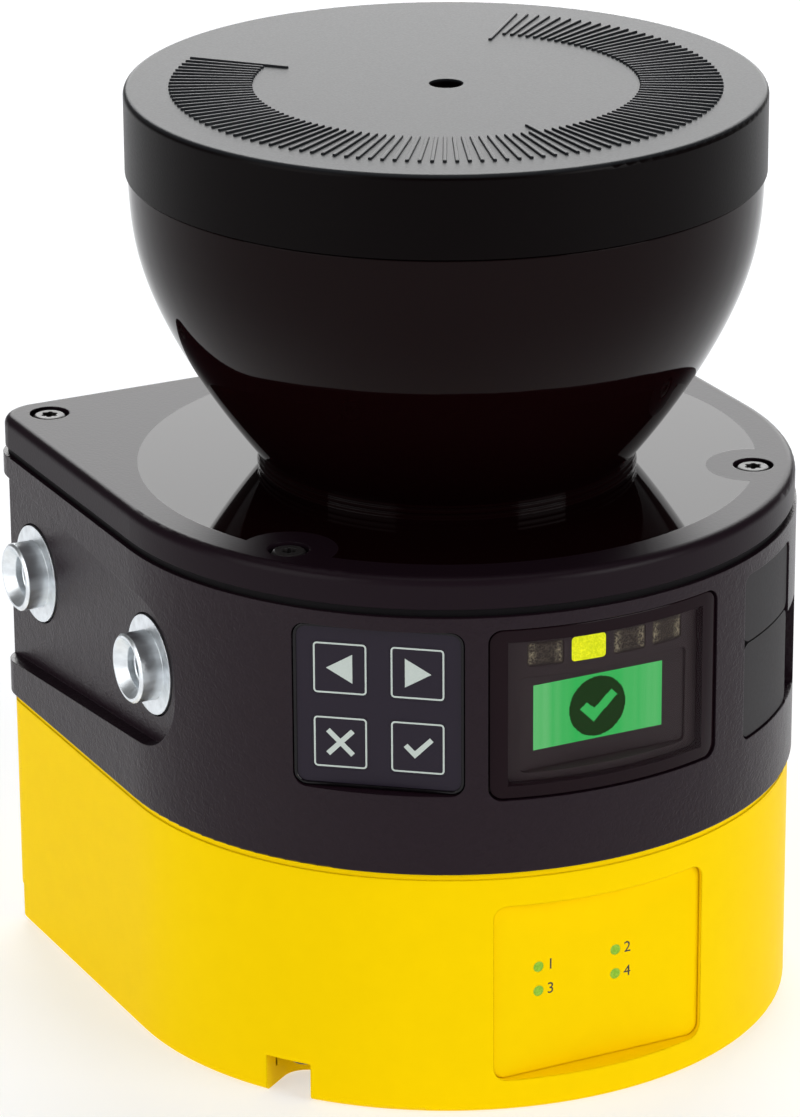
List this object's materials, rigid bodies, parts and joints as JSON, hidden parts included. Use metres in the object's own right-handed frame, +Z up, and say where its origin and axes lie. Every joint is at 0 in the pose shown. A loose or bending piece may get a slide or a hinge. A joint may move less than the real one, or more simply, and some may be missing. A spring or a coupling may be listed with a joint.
{
  "type": "safety laser scanner",
  "caption": "Safety laser scanner with a yellow base, black housing with keypad, display and round connectors, and a dark bowl-shaped optics cover under a cap with an angle scale.",
  "frame": {"origin": "on the scan axis, at the underside of the base", "axes": "+Z up along the scan axis, front with the display towards -Y, +X to the right seen from the front with the object upright"},
  "size_m": [0.1166, 0.1113, 0.1512],
  "materials": {
    "yellow_housing": "smooth satin yellow",
    "black_housing": "fine wrinkle black",
    "dark_cover": "glossy, dark, infrared-clear",
    "cap_grey": "satin moulded",
    "rubber_black": "matt",
    "steel_bright": "bright",
    "keypad_black": "satin",
    "board_green": "solder mask",
    "smoked_window": "glossy smoked, see-through",
    "light_off": "clear diffuser, off",
    "light_on": "diffuser, lit yellow-green",
    "screen_green": "lit green liquid crystal",
    "connector_metal": "machined",
    "contact_gold": "gold-plated",
    "green_light": "light guide",
    "clear_glass": "polished",
    "brass_metal": "turned",
    "motor_metal": "machined",
    "iron_core": "plain",
    "mirror_face": "front-silvered",
    "ribbon_film": "amber film"
  },
  "bodies": {
    "housing": {"base_connector": "keypad_black", "base_gasket": "rubber_black", "base_housing": "yellow_housing", "base_screws": "steel_bright", "cap_seal": "rubber_black", "collimator_lens": "clear_glass", "connector_contacts": "contact_gold", "connector_inserts": "keypad_black", "connector_nuts": "connector_metal", "connector_seals": "rubber_black", "cover_gasket": "rubber_black", "cover_screws": "steel_bright", "display_bezel": "keypad_black", "display_board": "board_green", "display_module": "keypad_black", "display_screen": "screen_green", "display_window": "smoked_window", "emission_tube": "keypad_black", "encoder_sensor": "keypad_black", "key_domes": "steel_bright", "keypad_board": "board_green", "keypad_foil": "keypad_black", "laser_module": "brass_metal", "main_board": "board_green", "main_connector": "keypad_black", "middle_housing": "black_housing", "motor_bearings": "steel_bright", "motor_can": "motor_metal", "motor_flange": "motor_metal", "motor_ribbon": "ribbon_film", "motor_stator": "iron_core", "network_board": "board_green", "network_label": "yellow_housing", "network_lights": "green_light", "network_socket_1": "connector_metal", "network_socket_2": "connector_metal", "optics_cover": "dark_cover", "optics_tray": "keypad_black", "port_plug": "rubber_black", "power_board": "board_green", "power_inlet": "connector_metal", "receiver_board": "board_green", "receiver_lens": "clear_glass", "service_board": "board_green", "service_port": "steel_bright", "status_light_1": "light_off", "status_light_2": "light_on", "status_light_3": "light_off", "status_light_4": "light_off", "top_cap": "cap_grey"},
    "mirror_rotor": {"rotor_shaft": "steel_bright", "rotor_magnet": "iron_core", "encoder_disc": "steel_bright", "mirror_carrier": "keypad_black", "scan_mirror": "mirror_face"},
    "port_flap": {"port_flap": "rubber_black"},
    "key_previous": {"key_previous": "keypad_black"},
    "key_next": {"key_next": "keypad_black"},
    "key_cancel": {"key_cancel": "keypad_black"},
    "key_confirm": {"key_confirm": "keypad_black"}
  },
  "joints": [
    {"name": "mirror_spin", "type": "hinge", "parent": "housing", "child": "mirror_rotor", "pos_m": [0, 0, 0.112], "axis": [0, 0, 1], "continuous": true},
    {"name": "port_flap_hinge", "type": "hinge", "parent": "housing", "child": "port_flap", "pos_m": [0.03471, -0.04395, 0.06885], "axis": [-0.7848, -0.6198, 0], "range_deg": [0, 100]},
    {"name": "key_previous_press", "type": "slide", "parent": "housing", "child": "key_previous", "axis": [0.6211, 0.7837, 0], "range_m": [0, 0.0003], "stiffness_N_per_m": 400},
    {"name": "key_next_press", "type": "slide", "parent": "housing", "child": "key_next", "axis": [0.6211, 0.7837, 0], "range_m": [0, 0.0003], "stiffness_N_per_m": 400},
    {"name": "key_cancel_press", "type": "slide", "parent": "housing", "child": "key_cancel", "axis": [0.6211, 0.7837, 0], "range_m": [0, 0.0003], "stiffness_N_per_m": 400},
    {"name": "key_confirm_press", "type": "slide", "parent": "housing", "child": "key_confirm", "axis": [0.6211, 0.7837, 0], "range_m": [0, 0.0003], "stiffness_N_per_m": 400}
  ]
}
